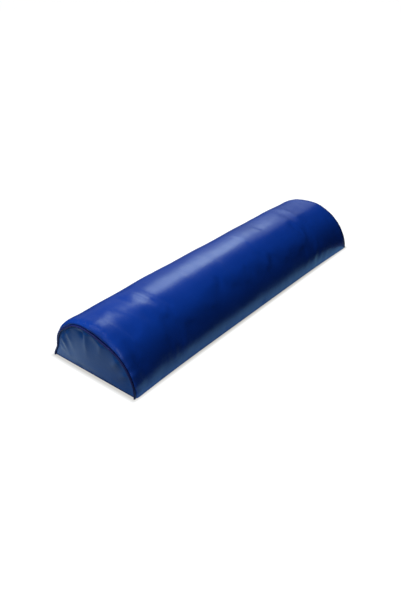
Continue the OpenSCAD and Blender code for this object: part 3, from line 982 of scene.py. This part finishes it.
def make_piping(name, side, materials):
    angles, across = even_angles(220)
    half_flange = FLANGE / 2
    start = math.pi - math.asin(half_flange / PIPING_R)
    bead = np.linspace(-start, start, 16)
    inner_r, slit = PIPING_CORD_R + GAP, 0.04
    inner_q = math.pi - math.asin(slit / inner_r)
    bore = np.linspace(inner_q, -inner_q, 16)
    gathered = 1 + 0.05 * ripple(across, side * 20 + 0 * across, 17, 5, 7, 16)[:, None]
    centre = seam_inset(angles, side)[:, None] + half_flange + GAP / 2
    ones = np.ones_like(centre)
    bead_r = PIPING_R * (RIGHT_PIPING_SCALE if side > 0 else 1.0) * gathered
    bead_x = PIPING_X + bead_r - PIPING_R
    x = np.concatenate([TURN_X * ones, bead_x + bead_r * np.cos(bead), TURN_X * ones,
                        TURN_X * ones, PIPING_X + inner_r * np.cos(bore) * ones, TURN_X * ones], 1)
    d = np.concatenate([centre - half_flange, centre + bead_r * np.sin(bead), centre + half_flange,
                        centre + slit, centre + inner_r * np.sin(bore), centre - slit], 1)
    rings = drawn(arch_point(x, d, angles[:, None])) * [side, 1, 1]
    sleeve = loft(name + "_piping", rings, materials["piping"])
    face_outwards(sleeve)
    worn = np.zeros(rings.shape[:2])
    # The bead's outer face takes the lighter colour: rub wear, and also a painted highlight line along the
    # piping.
    worn[:, 5:13] = 0.6
    set_wear(sleeve, worn)
    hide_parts(name + "_piping_sleeve")

    turns = np.linspace(0, 2 * math.pi, 8, endpoint=False)
    x = PIPING_X + PIPING_CORD_R * np.cos(turns)[None, :] * ones
    d = centre + PIPING_CORD_R * np.sin(turns)[None, :]
    filler = loft(name + "_piping_filler", drawn(arch_point(x, d, angles[:, None])) * [side, 1, 1],
                  materials["filler"])
    face_outwards(filler)
    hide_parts(name + "_piping_cord")


# --- Base -----------------------------------------------------------------------------------------


def valley_share(x):
    return np.clip((VALLEY_END_X - np.abs(x)) / (VALLEY_END_X - FLAT_ZIP_X), 0, 1)


def lift(x, y):
    """Height of the base where it rises to the zip."""
    slope = np.clip((VALLEY_HALF_W - np.abs(y)) / (VALLEY_HALF_W - 8), 0, 1)
    return VALLEY_DEPTH * smooth(valley_share(x), 0, 1) * slope


def wall_in(x, z, side):
    """How far the arch's wall stands inside its foot at height z, at the front (1) or the rear (-1)."""
    angles = np.linspace(0, 0.4, 60)
    wall = arch_point(x, SKIN + GAP, math.pi - angles if side > 0 else angles)
    return abs(wall[0, 1]) - np.interp(z, wall[:, 2], np.abs(wall[:, 1]))


def base_section(x, side):
    """A base panel's section at x: its outer line from the turned-up edge to the zip's fold."""
    inside_end = abs(x) > TURN_X - 1.25
    inset = SEAM_INSET_LOW + FLANGE + SKIN + 3 * GAP if inside_end else SKIN + GAP
    edge_h = SKIN + 0.04 if inside_end else FLANGE_H
    edge_y = -foot_w(x) + inset
    fold_y = -0.6 - (FOLD_HALF_GAP - 0.6) * valley_share(x)
    rise = np.linspace(edge_h, 0, BASE_EDGE_STEPS)
    flat = np.linspace(edge_y, fold_y, BASE_FLAT_STEPS)[1:]
    y = np.concatenate([edge_y + wall_in(x, rise, side), flat])
    z = np.concatenate([rise, lift(x, flat) + base_relief(x, flat, edge_y)])
    return y, z


def base_relief(x, y, edge_y):
    """The base's shallow waves, only upwards, so that nothing dips below the floor."""
    waves = 0.35 * (1 + ripple(x, 2 * y, 71, 5, 60, 150)) + 0.12 * (1 + ripple(x, y, 73, 5, 18, 40))
    return np.clip(waves, 0, 1.2) * smooth(y - edge_y, 0.5, 16) * smooth(HALF_L - abs(x), 2, 24)


def make_base_panel(name, side, materials):
    end_stations = [TURN_X - 1.0, TURN_X, HALF_L - 8, HALF_L - 4, HALF_L - 1]
    half = np.concatenate([np.linspace(0, TURN_X - 1.5, 124), end_stations])
    corner = BASE_EDGE_STEPS - 1
    beside = slice(BASE_EDGE_STEPS, 2 * BASE_EDGE_STEPS)
    rings, worn = [], []
    for x in np.concatenate([-half[:0:-1], half]):
        y, z = base_section(x, side)
        folded = VALLEY_HALF_W - 5.5
        thick = np.where((np.abs(y) < folded) & (abs(x) < VALLEY_END_X), 2 * SKIN, SKIN)
        inner_y = y.copy()
        inner_y[:BASE_EDGE_STEPS] += 2 * SKIN
        least_y = inner_y[corner] + 0.2 * np.arange(1, BASE_EDGE_STEPS + 1)
        inner_y[beside] = np.maximum(inner_y[beside], least_y)
        on_edge = np.arange(len(z)) < corner
        inner_z = np.maximum(z, np.where(on_edge, z, 0)) + np.where(on_edge, 0, thick)
        low = inner_z[corner]
        inner_z[:corner] = np.maximum(inner_z[:corner], low + 0.1 * np.arange(corner, 0, -1) * (z[0] > 2))
        section = np.stack([np.full(len(y), x), y, z], 1)
        lining = np.stack([np.full(len(y), x), inner_y, inner_z], 1)
        rings.append(np.concatenate([section, lining[::-1]]))
        edge = np.exp(-np.abs(y - y[corner]) / 4) + 0.5 * np.exp(-np.abs(y - y[-1]) / 3)
        worn.append(np.r_[edge, edge[::-1]])
    rings = drawn(np.array(rings)) * [1, side, 1]
    panel = loft(name + "_base_cover", rings, materials["base"])
    face_outwards(panel)
    set_wear(panel, np.array(worn) * 0.7)
    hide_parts(name + "_base_panel")


# --- Zip ------------------------------------------------------------------------------------------

TOOTH_PITCH = 1.5
TOOTH_WIRE_R = 0.36
STITCH_L = 4.0


def make_zip_tape(name, side, materials):
    half = np.linspace(0, VALLEY_END_X, 130)
    y = np.linspace(-TAPE_HALF_W, -TAPE_HALF_GAP, 16)
    rings = []
    for x in np.concatenate([-half[:0:-1], half]):
        low = lift(x, y) + 2 * SKIN + GAP
        beads = 0.10 * np.exp(-(((y + 4.2) / 0.5) ** 2))
        under = np.stack([np.full(len(y), x), y, low], 1)
        above = np.stack([np.full(len(y), x), y, low + TAPE_T + beads], 1)
        rings.append(np.concatenate([under, above[::-1]]))
    tape = loft(name + "_tape", np.array(rings) * [1, side, 1], materials["tape"])
    face_outwards(tape)
    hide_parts(name + "_zip_tape")


def make_zip_coil(name, side, materials):
    """Teeth of bent monofilament, each a loop from the tape to the middle and back."""
    reach = FLAT_ZIP_X - 2
    r = TOOTH_WIRE_R
    low, high = COIL_Z + r, COIL_Z + COIL_H - r
    count = int(2 * reach / TOOTH_PITCH)
    offset = 0 if side < 0 else TOOTH_PITCH / 2
    loop = np.array([
        (-0.22, -COIL_HALF_W + 0.1 + r, high), (-0.20, -1.6, high), (-0.16, -0.8 - r, high - 0.1),
        (-0.05, -0.35 - r, (low + high) / 2 + 0.35), (0.05, -0.35 - r, (low + high) / 2 - 0.35),
        (0.14, -0.8 - r, low + 0.1), (0.18, -1.6, low), (0.20, -COIL_HALF_W + 0.1 + r, low),
    ])
    paths = []
    for i in range(count):
        x = -reach + offset + i * TOOTH_PITCH
        paths.append((loop + [x, 0, 0]) * [1, side, 1])
    coil = tubes(name + "_coil", paths, r, 6, materials["coil"])
    face_outwards(coil)
    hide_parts(name + "_zip_coil")


def make_zip_stitches(name, side, materials):
    """Lockstitches along the zip, lying on the outside of the base."""
    reach = FLAT_ZIP_X - 6
    count = int(2 * reach / STITCH_L)
    surface = lift(0.0, ZIP_STITCH_Y)
    paths = []
    for i in range(count):
        x = -reach + i * STITCH_L
        t = np.linspace(0, 1, 7)
        rise = 0.95 * np.sin(math.pi * t) ** 0.5
        wobble = 0.08 * math.sin(i * 2.1)
        paths.append(np.stack([x + 0.2 + t * (STITCH_L - 0.4), np.full(7, -ZIP_STITCH_Y + wobble),
                               surface + 0.75 - rise], 1) * [1, side, 1])
    made = tubes(name + "_stitches", paths, 0.24, 6, materials["thread"])
    face_outwards(made)
    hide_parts(name + "_zip_thread")


def recolour(node_name, material):
    """Gives a CAD piece that keeps its shape a material."""
    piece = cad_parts[node_name]
    piece.data.materials.clear()
    piece.data.materials.append(material)
    return piece


def finish_metal(node_name, materials):
    """The CAD slider and pull keep their shape, with softened edges and a plated finish."""
    piece = recolour(node_name, materials["metal"])
    rounded = piece.modifiers.new("softened", "BEVEL")
    rounded.width, rounded.segments = 0.00018, 2
    rounded.limit_method, rounded.angle_limit = "ANGLE", math.radians(40)
    rounded.harden_normals = False


# --- Foam -----------------------------------------------------------------------------------------


def make_foam(materials):
    angles, across = even_angles(84)
    rebate_x = TURN_X - 1
    half = np.concatenate([np.linspace(0, rebate_x - 4, 110), [rebate_x, rebate_x + 4, SEAM_X - 1.2]])
    rings = []
    for x in np.concatenate([-half[:0:-1], half]):
        raised = abs(x) >= rebate_x
        inset = SKIN + 1.6 + raised * (seam_inset(angles, x) + FLANGE + SKIN)
        foot = np.minimum(across, across[-1] - across)
        inset = np.maximum(inset, 4.6 * (1 - smooth(foot, 12, 34)))
        inset = inset + 0.25 * ripple(x + 0 * angles, across, 83, 6, 9, 30)
        top = arch_point(x, inset, angles)
        top[:, 2] = np.maximum(top[:, 2], FLANGE_H + 1.5)
        limit = foot_w(x) - 6 - REAR_TUCK * end_share(x) - (seam_inset(0) if raised else 0)
        low_y = np.clip(top[:, 1] * 0.985, -limit, limit)
        order = np.linspace(1, -1, len(low_y)) * 0.5
        low_z = np.where(np.abs(low_y) < 19, 11.2, 3.4 if raised else 1.9 + SKIN)
        low = np.stack([top[:, 0], low_y + order, low_z], 1)[::-1]
        rings.append(drawn(np.concatenate([top, low])))
    core = loft("foam_cushion", np.array(rings), materials["foam"])
    face_outwards(core)
    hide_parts("foam_core")


# --- Assembly -------------------------------------------------------------------------------------


def main():
    make_camera()
    materials = make_materials()
    make_stage()
    make_light()
    cloth = ClothMoves()
    make_top_panel(materials, cloth)
    for name, side in (("left", -1), ("right", 1)):
        make_end_panel(name, side, materials)
        make_piping(name, side, materials)
    for name, side in (("front", 1), ("rear", -1)):
        make_base_panel(name, side, materials)
        make_zip_tape(name, side, materials)
        make_zip_coil(name, side, materials)
        make_zip_stitches(name, side, materials)
    make_foam(materials)
    for node_name in ("zip_slider", "zip_pull"):
        finish_metal(node_name, materials)
    for node_name in ("left_arc_thread", "right_arc_thread", "left_base_thread", "right_base_thread",
                      "front_edge_thread", "rear_edge_thread"):
        recolour(node_name, materials["thread"])


main()
